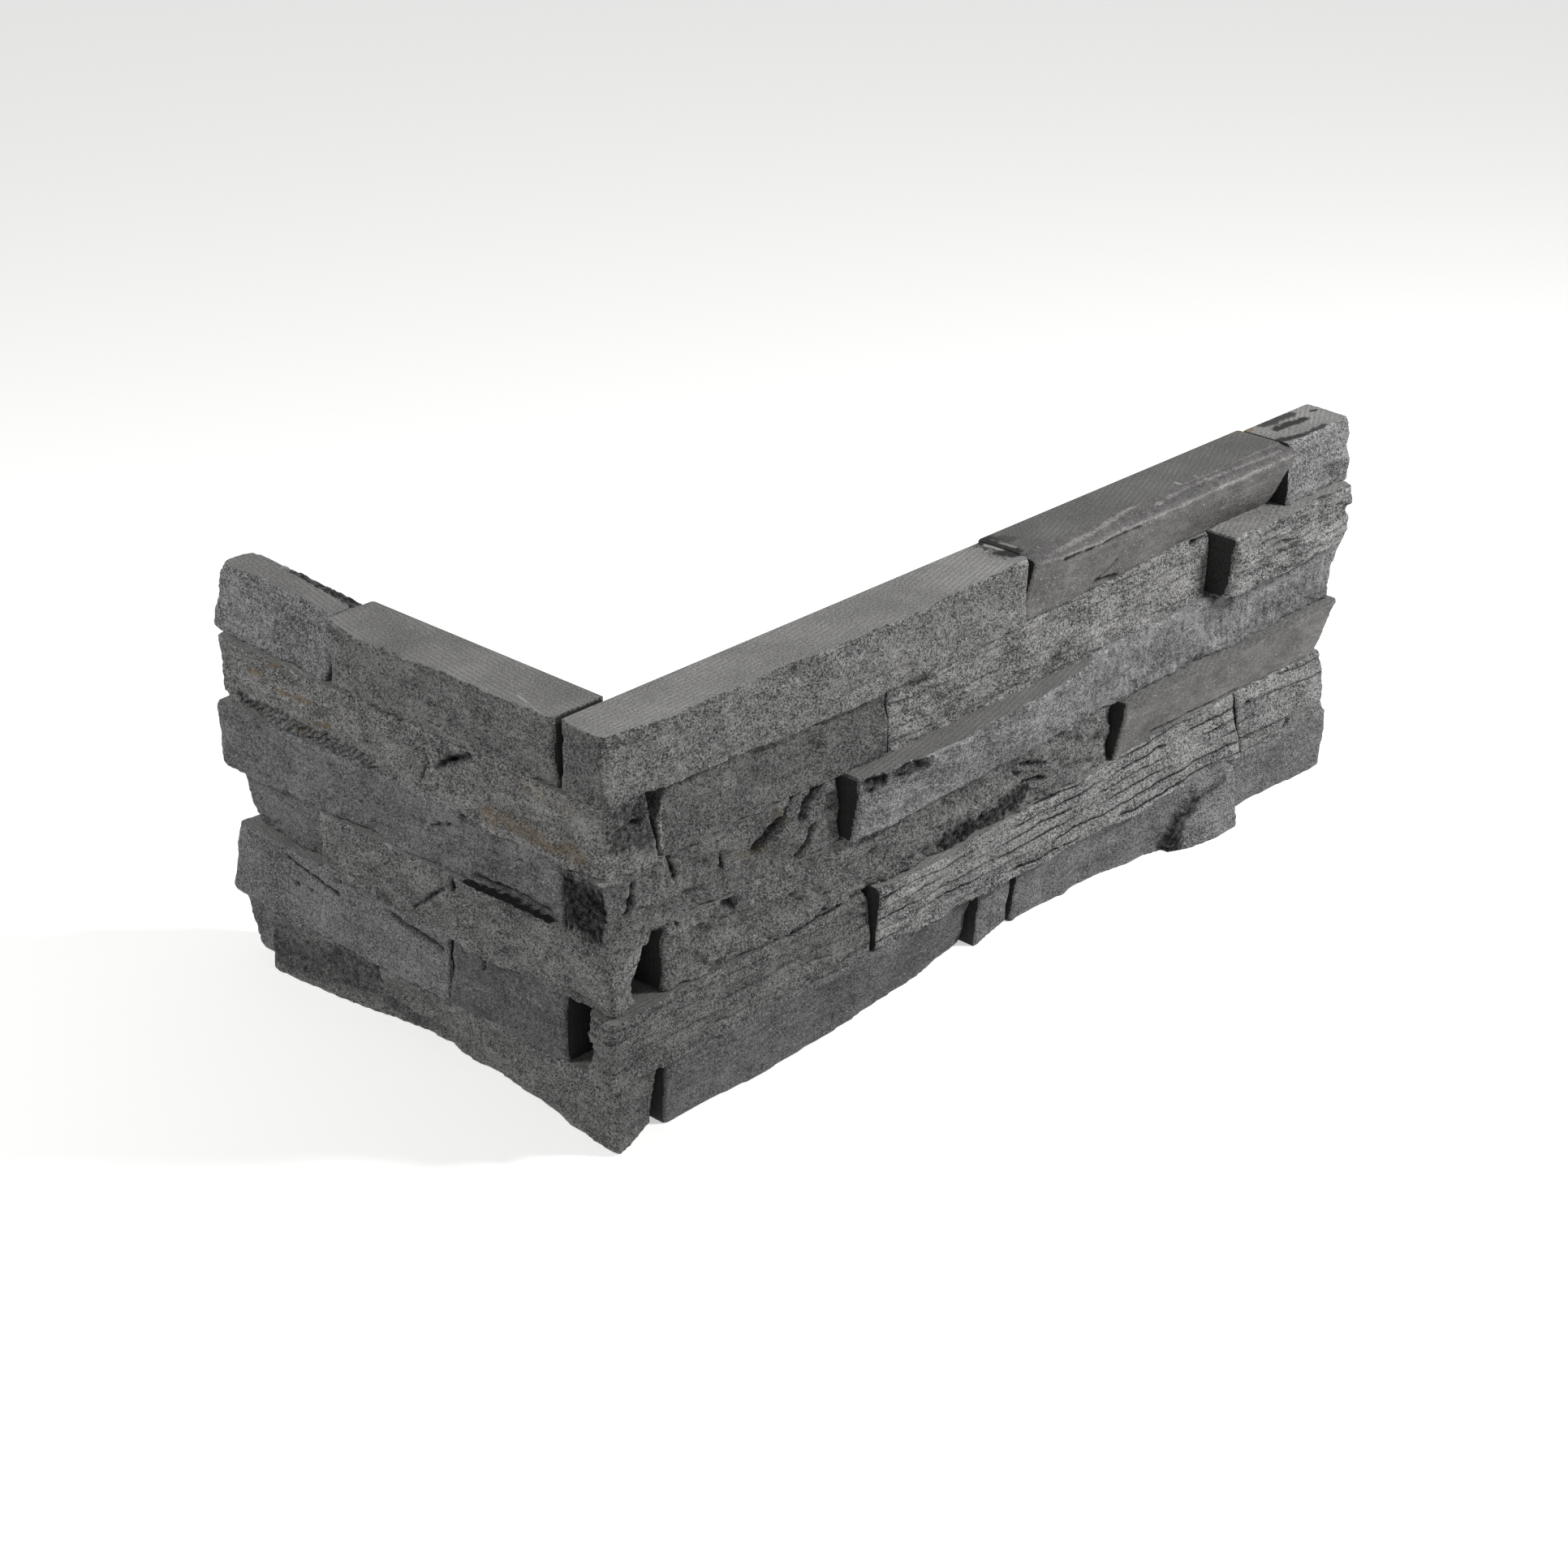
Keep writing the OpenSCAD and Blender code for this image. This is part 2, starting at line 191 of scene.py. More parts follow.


# The same stone where the saw went through it: flat and fine-grained, with the blade's shallow arcs.
# A bed shows the layers from above and is pale, and an end shows them edge on and is nearly black,
# partly its own colour and partly painted shade for ends that stand in shadow. The real blade marks
# are about 1 mm apart, and are drawn 2 mm apart so that they show. The marks on the beds are scratches,
# crusts and stains of resin, and one is painted shade on the narrow ledge at z 75 under the stone above.
# Each runs from one point to another, and is (x, y, x, y, z, half width, how much it blends in, colour),
# in millimetres.
sawnStone = {
    "bed": {"dark": "#4a4a49", "pale": "#abaaa8", "arc": 2.0, "depth": 0.15, "roughness": 0.72,
            "gloss": 0.2,
            "marks": ((-18, 22.6, -19.5, 17, 150, 0.5, 0.5, "#bcbcb8"),
                      (-19.5, 17, -22, 8.3, 150, 0.3, 0.4, "#b4b4b0"),
                      (180.5, -2, 179, -13, 150, 6, 1, "#0e0e0e"),
                      (186, -3, 188.5, -5.5, 150, 3, 0.6, "#2a2a29"),
                      (178, -4, 179, -10, 150, 1.4, 0.6, "#b8b8b2"),
                      (183.5, -6, 184, -12, 150, 1.0, 0.5, "#a8a8a2"),
                      (345, -8.2, 361, -9.2, 150, 2.6, 1, "#1c1c1b"),
                      (335, -16.4, 345, -19.4, 150, 2.2, 1, "#1c1c1b"),
                      (345, -19.4, 361, -19.8, 150, 2.0, 0.9, "#1c1c1b"),
                      (344, -2, 362, -2.8, 150, 2.6, 0.9, "#222222"),
                      (369.7, -5.7, 372.4, -6.8, 150, 1, 1, "#222221"),
                      (338, -1.3, 332.7, -0.6, 150, 1.5, 0.8, "#75663f"),
                      (272.3, -14.9, 272.2, -19.5, 150, 0.7, 0.8, "#b2b2ac"),
                      (283, -15.1, 280, -23, 150, 0.4, 0.5, "#b0b0ac"),
                      # painted shade on the ledge at z 75
                      (-21, 46, -21, 12, 75, 5, 1, "#0d0d0d"))},
    # nearly black: partly the stone's own colour, partly painted shade
    "end": {"dark": "#191919", "pale": "#434342", "arc": 2.0, "depth": 0.14, "roughness": 0.6,
            "gloss": 0.25, "marks": ()},
}
# What both share: how much grains, clouds and arcs count, the grains along a millimetre, the size of a
# cloud, where the arcs fade (from the sum of two patterns) and how faint they get, how high an arc stands
# beside the grain, and the blade's centre, far behind each leg, so that its marks are long arcs
everySawn = {"grains": 2.2, "clouds": 0.45, "arcs": 0.26, "grainsPerMm": 1.3, "cloud": 30,
             "unevenPerMm": 0.35, "arcFade": (0.85, 1.2), "faintest": 0.05, "arcHeight": 0.35,
             "longLegBlade": (-40, 700, 0), "shortLegBlade": (700, -40, 0), "ior": 1.54}


def makeSawnStone(name, look):
    material = newMaterial("sawn_" + name)
    place = addNode(material, "ShaderNodeTexCoord", {}).outputs["Object"]
    even = addNode(material, "ShaderNodeMapping", {
        "Vector": place, "Scale": (1000, 1000, 1000)}).outputs[0]
    grain = addNode(material, "ShaderNodeTexNoise", {
        "Vector": even, "Scale": everySawn["grainsPerMm"], "Detail": 3, "Roughness": 0.75}).outputs[0]
    cloud = addNode(material, "ShaderNodeTexNoise", {
        "Vector": even, "Scale": 1 / everySawn["cloud"], "Detail": 3, "Roughness": 0.6}).outputs[0]
    onShortLeg = addNode(material, "ShaderNodeSeparateXYZ", {0: place}).outputs[1]
    onShortLeg = addNode(material, "ShaderNodeMath", {
        0: onShortLeg, 1: 0.0}, operation="GREATER_THAN").outputs[0]
    centre = addNode(material, "ShaderNodeMix", {
        0: onShortLeg, 4: everySawn["longLegBlade"], 5: everySawn["shortLegBlade"]},
        data_type="VECTOR").outputs[1]
    blade = addNode(material, "ShaderNodeVectorMath", {
        0: even, 1: centre}, operation="SUBTRACT").outputs[0]
    # rings of scale 1 are 0.314 apart
    arcs = addNode(material, "ShaderNodeTexWave", {
        "Vector": blade, "Scale": 0.314 / look["arc"], "Distortion": 4, "Detail": 2,
        "Detail Scale": 0.12}, wave_type="RINGS", rings_direction="Z").outputs["Fac"]
    # they are plain in one place and faint in another
    uneven = addNode(material, "ShaderNodeTexNoise", {
        "Vector": even, "Scale": everySawn["unevenPerMm"], "Detail": 4, "Roughness": 0.7}).outputs[0]
    arcShare = addNode(material, "ShaderNodeMath", {0: uneven, 1: cloud}, operation="ADD").outputs[0]
    low, high = everySawn["arcFade"]
    arcShare = addNode(material, "ShaderNodeMapRange", {
        0: arcShare, 1: low, 2: high, 3: everySawn["faintest"], 4: 1.0}).outputs[0]
    arcs = addNode(material, "ShaderNodeMath", {0: arcs, 1: arcShare}, operation="MULTIPLY").outputs[0]
    share = everySawn["grains"]
    total = addNode(material, "ShaderNodeMath", {0: grain, 1: share, 2: 0.5 - share / 2},
                    operation="MULTIPLY_ADD").outputs[0]
    for pattern, share in ((cloud, everySawn["clouds"]), (arcs, everySawn["arcs"])):
        part = addNode(material, "ShaderNodeMath", {0: pattern, 1: share, 2: -share / 2},
                       operation="MULTIPLY_ADD").outputs[0]
        total = addNode(material, "ShaderNodeMath", {0: total, 1: part}, operation="ADD").outputs[0]
    share = addNode(material, "ShaderNodeMapRange", {
        0: total, 1: 0.0, 2: 1.0, 3: 0.0, 4: 1.0}).outputs[0]
    colour = addNode(material, "ShaderNodeMix", {
        0: share, 6: linear(look["dark"]), 7: linear(look["pale"])}, data_type="RGBA").outputs[2]
    tone = addNode(material, "ShaderNodeAttribute", {}, attribute_name="sawnTone").outputs["Fac"]
    toned = addNode(material, "ShaderNodeVectorMath", {
        0: colour, "Scale": tone}, operation="SCALE").outputs[0]
    for x0, y0, x1, y1, z, width, blend, code in look["marks"]:
        # how far the point is from the mark's line
        way = Vector((x1 - x0, y1 - y0, 0))
        offset = addNode(material, "ShaderNodeVectorMath", {
            0: even, 1: (x0, y0, z)}, operation="SUBTRACT").outputs[0]
        reach = addNode(material, "ShaderNodeVectorMath", {0: offset, 1: way / way.length_squared},
                        operation="DOT_PRODUCT").outputs["Value"]
        reach = addNode(material, "ShaderNodeClamp", {0: reach}).outputs[0]
        foot = addNode(material, "ShaderNodeVectorMath", {
            0: way, "Scale": reach}, operation="SCALE").outputs[0]
        away = addNode(material, "ShaderNodeVectorMath", {
            0: offset, 1: foot}, operation="DISTANCE").outputs["Value"]
        # a ragged edge and a mottled inside
        ragged = addNode(material, "ShaderNodeMath", {0: uneven, 1: 3 * width, 2: -1.6 * width},
                         operation="MULTIPLY_ADD").outputs[0]
        away = addNode(material, "ShaderNodeMath", {0: away, 1: ragged}, operation="ADD").outputs[0]
        on = addNode(material, "ShaderNodeMapRange", {
            0: away, 1: 0.5 * width, 2: width, 3: blend, 4: 0.0}).outputs[0]
        toned = addNode(material, "ShaderNodeMix", {
            0: on, 6: toned, 7: linear(code)}, data_type="RGBA").outputs[2]
    height = addNode(material, "ShaderNodeMath", {0: arcs, 1: everySawn["arcHeight"], 2: grain},
                     operation="MULTIPLY_ADD").outputs[0]
    bump = addNode(material, "ShaderNodeBump", {
        "Height": height, "Strength": 1.0, "Distance": look["depth"] * mm}).outputs[0]
    surface = addNode(material, "ShaderNodeBsdfPrincipled", {
        "Base Color": toned, "Roughness": look["roughness"], "IOR": everySawn["ior"],
        "Specular IOR Level": look["gloss"], "Normal": bump}).outputs[0]
    addNode(material, "ShaderNodeOutputMaterial", {"Surface": surface})
    return material


split = {name: makeSplitStone(name, look) for name, look in splitStone.items()}
sawn = {name: makeSawnStone(name, look) for name, look in sawnStone.items()}
print("materials made")

# How each stone differs from the usual one: its finish, which of its ends are broken, how bright its
# split faces and its sawn beds are, how far its lumps and layers stand out, how high a layer is, how
# steeply the layers fall along the stone, and how deep its seams, flakes, chips and grain are.
# Flakes are shallow steps where scales of stone have come away. Lengths are in millimetres.
# A cut is a plane, given by a point and its outward direction, that takes a corner off the stone.
# A mark runs from one point to another on the face that looks along x, y or z, and is
# (face, kind, along, height, along, height, half width, depth or strength). On a z face, height is y.
# Cracks and hollows are deep and painted dark with shade, teeth are a row of notches left by a saw, with
# painted shade in them, and a shell stands out as the edge of a scale: their last number is a depth.
# Rust, dark and pale marks only colour the stone; some dark marks are painted shade, and some pale marks
# are painted highlights on an arris.
usual = {"finish": "granite", "broken": "", "tone": 1.0, "bed": 1.0, "lumps": 0.8, "layers": 0.4,
         "layerHeight": 5.0, "dip": 0.03, "seams": 0.04, "flakes": 0.22, "chips": 0.8, "grain": 0.5,
         "cuts": (), "marks": ()}
stones = {
    "course6_corner": {
        "broken": "start", "tone": 1.06, "bed": 1.06, "lumps": 0.5, "layers": 0.2,
        "marks": (("x", "dark", -24, 138, 0, 138, 18, 0.4),)},
    "course6_long1": {
        "finish": "brown", "bed": 0.56, "lumps": 0.3, "layers": 0.3, "seams": 0.05, "flakes": 0.1,
        "chips": 0.6, "grain": 0.2,
        "cuts": (((0, -17, 150), (0, -0.16, 1)),),
        "marks": (("y", "crack", 221, 128.5, 229.5, 133.2, 1.5, 1.0),
                  ("y", "crack", 219, 128, 234.7, 125.8, 1.4, 1.0),
                  ("y", "pale", 184, 147.6, 331, 147.8, 0.9, 0.8),
                  ("y", "crack", 194, 146.2, 236, 146.6, 0.9, 0.5),
                  ("z", "dark", 180, -20.5, 345, -20.5, 7, 0.42),
                  ("z", "pale", 188, -24, 218, -22, 1.2, 0.55),
                  ("z", "pale", 218, -22, 246, -17.4, 1.2, 0.5),
                  ("z", "pale", 251, -22.4, 271.5, -20.2, 0.8, 0.4),
                  ("z", "pale", 271.5, -20.2, 327, -22.6, 0.8, 0.4),
                  ("z", "pale", 273, -17.6, 331, -17.6, 0.7, 0.3))},
    "course6_long2": {
        "finish": "slate", "broken": "end", "tone": 1.66, "bed": 1.08, "seams": 0, "flakes": 0.2},
    "course6_short1": {"tone": 0.84, "bed": 0.9, "layers": 0.3, "layerHeight": 4.2, "seams": 0.14},
    "course6_short2": {
        "finish": "slate", "broken": "end", "tone": 1.54, "bed": 0.82, "grain": 0.6,
        "cuts": (((-9, 118, 150), (0.38, -0.05, 0.92)), ((0, 114.4, 133), (0, -0.9, -0.45))),
        "marks": (("z", "dark", -4, 117, -4, 150, 9, 0.95),)},
    "course5_corner": {
        "broken": "start end", "tone": 1.07, "lumps": 1.0, "seams": 0.15,
        "marks": (("x", "rust", 149, 124, 140, 124, 2.2, 0.8),
                  ("x", "rust", 159.5, 116.5, 150.8, 118.5, 2, 0.9),
                  ("x", "rust", 142.7, 115.3, 122.4, 116.8, 2.4, 0.8),
                  ("x", "rust", 128.7, 108.4, 116.3, 109.1, 1.4, 1.0),
                  ("x", "rust", 134.5, 102.6, 124.8, 104.4, 1.8, 0.9),
                  ("x", "rust", 111, 116.5, 110, 116, 2, 0.6),
                  ("x", "rust", 36.8, 105.5, -9.7, 105.5, 5.5, 0.65),
                  ("x", "rust", 20, 122, -4, 120, 5, 0.4),
                  ("x", "crack", 59.9, 113.5, 52, 119, 1.8, 1.5),
                  ("x", "hollow", 52, 119, 43.1, 123, 2.4, 1.8),
                  ("x", "crack", 66.6, 117, 64.7, 112.6, 1.2, 1.2),
                  ("x", "crack", 68.9, 105.6, 67, 111, 1.1, 1.1),
                  ("x", "teeth", 167, 103.2, 94, 103.2, 3.6, 1.2),
                  ("y", "crack", -19, 116, 2, 117.5, 1.2, 1.0),
                  ("y", "dark", -14, 116, 0, 113, 12, 0.7))},
    "course5_long1": {
        "tone": 0.65, "lumps": 0.5,
        "cuts": (((6, 0, 120), (-0.9, 0, 0.45)),),
        # a painted highlight along the arris at its start
        "marks": (("y", "pale", 5, 120, 3.2, 103, 1.1, 1.4),)},
    "course5_long2": {
        "tone": 1.3, "lumps": 0.6, "layerHeight": 4.5, "seams": 0.3,
        "marks": (("y", "crack", 284, 123, 292, 125, 2.5, 2.0),
                  ("y", "dark", 192, 104, 200, 105, 3, 0.55))},
    "course5_long3": {
        "finish": "layered", "broken": "end", "tone": 1.3, "bed": 1.15, "lumps": 1.0, "layers": 1.0,
        "layerHeight": 4, "seams": 0.34, "flakes": 0.5},
    "course4_corner": {
        "broken": "start", "tone": 0.68, "lumps": 0.85, "flakes": 0.25, "grain": 0.7,
        "marks": (("y", "crack", 5.5, 99, 8.1, 90.8, 1.4, 1.1),
                  ("y", "crack", 28.8, 91.7, 29.7, 86, 1.1, 0.9),
                  ("y", "hollow", 45.7, 86.8, 55, 92.5, 4.0, 2.0),
                  ("y", "crack", 53, 91, 64, 99.5, 1.6, 1.2),
                  ("y", "hollow", 67.2, 90.5, 75.1, 99, 3.2, 1.8),
                  ("y", "hollow", 65.5, 76.6, 72.1, 84.3, 2.4, 1.4),
                  ("y", "rust", 34.7, 87.2, 49.7, 85.2, 3, 0.5),
                  ("y", "rust", 53.6, 97.7, 58, 93, 3, 0.5),
                  ("y", "crack", -9.7, 95, -14.1, 86.8, 1.7, 1.3),
                  ("x", "dark", -3, 88, -20, 88, 14, 0.86))},
    "course4_long1": {
        "finish": "slate", "tone": 1.55, "bed": 0.8, "seams": 0.1,
        "marks": (("y", "dark", 91, 97, 96, 97, 5, 0.85), ("y", "crack", 91, 99, 96, 97, 2.6, 1.0),
                  ("y", "dark", 104, 98, 116, 97.5, 4, 0.85),
                  ("y", "crack", 105, 99.5, 115, 99.5, 1.8, 0.9))},
    "course4_long2": {
        "finish": "upright", "broken": "end", "tone": 1.2, "layers": 0.15, "seams": 0.05, "flakes": 0.25,
        "marks": (("y", "pale", 300, 97, 304, 88, 1.3, 0.3), ("y", "pale", 304, 88, 295, 79, 1.3, 0.3))},
    "course4_short1": {
        "finish": "slate", "broken": "end", "tone": 1.05, "lumps": 0.4, "layers": 0.3, "flakes": 0.3,
        "marks": (("x", "crack", 49.3, 99.4, 48, 99, 2.2, 2.4),
                  ("x", "crack", 65.4, 90.2, 53.5, 94.7, 0.9, 0.6),
                  ("x", "hollow", 44.9, 77.6, 11.4, 76, 1.9, 1.3))},
    "course3_corner": {
        "broken": "start", "tone": 0.94, "lumps": 1.1, "flakes": 0.3,
        "marks": (("x", "dark", 96, 52.5, 90, 53.5, 2.6, 0.6),
                  ("x", "crack", 76.8, 55.2, 60, 68.6, 1.1, 0.8),
                  ("x", "crack", 56, 75, 55.8, 70, 1.3, 1.0),
                  ("x", "crack", -16, 72.8, -14, 73, 1.6, 1.2), ("x", "dark", 30, 75, 14, 75, 1.6, 0.6))},
    "course3_long1": {
        "tone": 0.8, "lumps": 1.2, "seams": 0.08, "flakes": 0.4, "grain": 0.7,
        "marks": (("y", "hollow", 30, 74, 35, 69.5, 3.0, 0.9),
                  # the first dark mark is painted shade of a hollow near its foot
                  ("y", "dark", 140, 53.5, 178, 54.5, 4.5, 0.85),
                  ("y", "dark", 172, 56, 186, 57, 4, 0.85),
                  ("y", "crack", 180.4, 65.9, 181.5, 65, 2.0, 1.3),
                  ("y", "crack", 184, 68, 198, 64, 1.2, 0.8),
                  ("y", "crack", 184, 61, 196, 59, 1.2, 0.8), ("y", "dark", 217, 67, 218, 66, 2.5, 0.7),
                  ("y", "crack", 7.5, 75, 8.7, 73, 1.2, 0.9))},
    "course3_long2": {
        "finish": "brown", "broken": "end", "tone": 1.05, "bed": 0.82, "lumps": 0.3, "layers": 0.3,
        "seams": 0.05, "flakes": 0.1, "chips": 0.5, "grain": 0.2,
        "marks": (("y", "crack", 262, 53, 297, 51.8, 1.5, 1.2),
                  ("y", "crack", 297, 51.8, 319, 50.6, 1.9, 1.6))},
    "course3_short1": {"finish": "slate", "broken": "end", "tone": 0.97, "lumps": 0.5},
    "course2_corner": {
        "broken": "start", "tone": 0.75, "bed": 0.75, "layers": 0.7, "layerHeight": 4, "seams": 0.25,
        "cuts": (((98.5, 0, 50), (0.72, 0, 0.7)),),
        "marks": (("y", "crack", 60, 50, 98, 50, 1.9, 1.4),
                  ("y", "pale", 62.6, 44.2, 72.4, 43.4, 2, 0.2))},
    "course2_long1": {
        "finish": "layered", "tone": 1.35, "bed": 1.15, "lumps": 0.45, "layers": 0.7,
        "layerHeight": 4.4, "dip": 0.012, "seams": 0.7, "flakes": 0.2},
    "course2_long2": {
        "finish": "layered", "broken": "end", "tone": 1.24, "layers": 0.8, "layerHeight": 6,
        "seams": 0.5,
        "marks": (("y", "crack", 326, 43.9, 327, 43.5, 1.9, 1.6),
                  ("y", "crack", 348, 28, 351, 28.5, 2.3, 1.4))},
    "course2_short1": {
        "finish": "slate", "tone": 0.75,
        "marks": (("x", "crack", 43, 47, 43, 43.5, 1.0, 0.9),)},
    "course2_short2": {
        "finish": "slate", "broken": "end", "tone": 1.25, "lumps": 0.35, "layers": 0.3, "flakes": 0.2,
        "grain": 0.3,
        "marks": (("x", "crack", 143.4, 38.8, 142.5, 39, 1.5, 1.2),
                  ("x", "crack", 136.3, 39, 135.5, 39, 1.4, 1.2),
                  ("x", "hollow", 91, 46, 64, 43, 1.7, 1.1),
                  ("x", "pale", 115, 41.5, 64, 37.5, 0.9, 0.25),
                  ("x", "crack", 150, 47, 120, 43, 0.9, 0.6))},
    "course1_corner": {
        "broken": "start", "tone": 0.97, "lumps": 0.5, "chips": 0.3,
        "marks": (("x", "dark", 150, 12, 112, 14, 12, 0.6),
                  ("x", "crack", 103.5, 21, 102, 16, 2.6, 1.2),
                  # the dark mark on its y face is painted shade, darker towards the corner
                  ("x", "dark", 101, 6.5, 88, 3, 4.5, 0.5), ("y", "dark", -22, 12, 3, 12, 15, 0.35))},
    "course1_long1": {
        "finish": "slate", "tone": 0.82, "lumps": 0.4, "flakes": 0.25, "chips": 0.3, "grain": 0.3},
    "course1_long2": {"finish": "slate", "tone": 1.15, "lumps": 0.3, "chips": 0.3},
    "course1_long3": {
        "finish": "slate", "tone": 1.17, "lumps": 0.3, "flakes": 0.1, "chips": 0.3, "grain": 0.35,
        # the dark marks along the shell's left rim are a painted shadow
        "marks": (("y", "shell", 301, 0, 305, 0, 29, 2.6), ("y", "dark", 275, -2, 278, 12, 4.5, 0.85),
                  ("y", "dark", 278, 12, 285, 19, 4, 0.8), ("y", "dark", 285, 19, 301, 22, 3, 0.65))},
    "course1_long4": {
        "finish": "slate", "broken": "end", "tone": 1.15, "lumps": 0.4, "flakes": 0.15, "chips": 0.3},
    "course1_short1": {"finish": "slate", "broken": "end", "tone": 1.15, "lumps": 0.3, "chips": 0.3},
}

# The net of small faces that a stone becomes: the size of a face, how near two points are to be merged,
# how near a point is to a sawn plane to be put on it, how far the arris keeps from the back and the ends,
# all in millimetres, and how often the rough part and the arris are smoothed
net = {"step": 0.7, "merge": 0.01, "snap": 0.12, "clear": 0.05, "smoothing": 3, "arrisSmoothing": 2}

# Layers, in millimetres: how they wander, ripple and keep their height along the stone, and how long a
# seam goes on. Within a layer, from 0 to 1, where the step to the next begins and ends, and the seam.
layering = {"wander": 40, "ripple": 9, "stretch": 26, "fade": 30, "step": (0.78, 0.95), "seamAt": 0.86,
            "seamWidth": 0.75}

# Relief, in millimetres: the size of each pattern along the stone and up it, the size of bites out of an
# arris, how wide the arris is and how far it comes out, and how strong a bite begins a chip and how deep
# that gets. Then the share of the relief that stays at a leg's far end and between which distances from
# it the rest comes back, the same at the unit's foot, and the distances beside a sawn back or end.
relief = {"lump": (16, 8), "ridge": (8, 4), "grain": (2.6, 2), "flake": (7, 2.8), "bite": 9, "nibble": 3,
          "arris": 2.4, "arrisOut": 0.4, "chip": (0.15, 2.4), "farEnd": (0.4, 1, 8), "foot": (0.15, 0, 4),
          "beside": (0.3, 2.5)}

# How dark the painted shade is in each kind of mark, how far a crack or hollow goes past its depth to
# look that deep, the distance between two teeth in millimetres, and the darkest that a dark mark gets
marking = {"crack": 0.85, "hollow": 0.72, "teeth": 0.6, "deepen": 1.2, "pitch": 3.4, "darkest": 0.93}

# Painted light and shade: how much paler the stone is painted for each millimetre that it stands out,
# and darker where it sinks, between which two heights, how pale the upper arris is painted, partly as
# bruising and partly as a painted highlight, and how dark the painted shade in a seam gets for each
# millimetre of its depth and at most
shading = {"reliefLightAndShade": 0.25, "from": -2, "to": 0.8, "bruiseAndHighlight": 0.7, "seam": 0.5, "darkestSeam": 0.6}


def ease(value, low, high):
    share = min(max((value - low) / (high - low), 0), 1)
    return share * share * (3 - 2 * share)


def layerStep(along, height, look, seed):
    # Layers of different hardness stand out by different amounts, with a quick step between them,
    # and a seam runs along each step. The multiples of layer only keep their patterns apart.
    wander = 1.1 * noise.noise(Vector((along / layering["wander"], seed, 3)))
    wander += 0.2 * noise.noise(Vector((along / layering["ripple"], seed, 5)))
    level = (height + look["dip"] * along + wander) / look["layerHeight"]
    layer = math.floor(level)
    here = noise.noise(Vector((layer * 7.31 + 0.5, along / layering["stretch"], seed)))
    above = noise.noise(Vector((layer * 7.31 + 7.81, along / layering["stretch"], seed)))
    share = level - layer
    fade = ease(noise.noise(Vector((along / layering["fade"], layer * 3.7, seed))), -0.35, 0.0)
    fromSeam = share - layering["seamAt"]
    seam = fade * max(1 - abs(fromSeam) * look["layerHeight"] / layering["seamWidth"], 0)
    turn = 2 * math.pi * fromSeam
    facing = look["layerHeight"] * Vector((math.cos(turn), math.sin(turn), 0))
    facing.z = min(1.4 * look["seams"], 0.85) * fade
    return here + (above - here) * ease(share, *layering["step"]), seam, facing


def splitRelief(place, along, height, edge, look, seed):
    # How far the split face stands out at a point, how deep its seam is, how pale its upper arris is
    # painted as bruising and highlight, and the seam's attribute
    long, high = relief["lump"]
    lump = noise.fractal(Vector((place.x / long + seed, place.y / long, place.z / high)), 0.9, 2.1, 3)
    long, high = relief["ridge"]
    ridge = 0.5 - abs(noise.noise(Vector((place.x / long, place.y / long + seed, place.z / high))))
    long, high = relief["grain"]
    grain = noise.fractal(Vector((place.x / long, place.y / long, place.z / high + seed)), 0.5, 2.2, 3)
    long, high = relief["flake"]
    flake = noise.fractal(Vector((along / long, height / high, seed * 2)), 0.8, 2.1, 2)
    step, seam, facing = layerStep(along, height, look, seed)
    out = look["lumps"] * (lump + 0.8 * ridge) + look["grain"] * grain
    out += look["layers"] * 1.6 * step - look["seams"] * seam
    out -= look["flakes"] * (ease(flake, 0.08, 0.2) + ease(flake, 0.38, 0.5))
    bite = noise.noise(Vector((along / relief["bite"], seed, 0 if edge < 0 else 9)))
    bite += 0.4 * noise.noise(Vector((along / relief["nibble"], seed, 4)))
    near = 1 - min(abs(edge) / relief["arris"], 1)
    # the arris that the plain stone has eased comes back out, except where a chip is missing, and the
    # upper arris is painted pale in places, partly as bruising and partly as a painted highlight
    chipFrom, chipDepth = relief["chip"]
    out += near * near * (relief["arrisOut"] - look["chips"] * chipDepth * max(bite - chipFrom, 0))
    bruiseAndHighlight = shading["bruiseAndHighlight"] * near * near * ease(grain + 0.6 * bite, 0.1, 0.5) if edge > 0 else 0
    return out, look["seams"] * seam, bruiseAndHighlight, facing


def onMark(along, height, mark, wobble):
    # 1 on the line of a mark, 0 at its half width
    u0, v0, u1, v1, width = mark[2:7]
    du, dv = u1 - u0, v1 - v0
    share = ((along - u0) * du + (height - v0) * dv) / max(du * du + dv * dv, 0.01)
    share = min(max(share, 0), 1)
    away = math.hypot(along - u0 - share * du, height - v0 - share * dv)
    return 1 - (away + 0.7 * wobble) / width


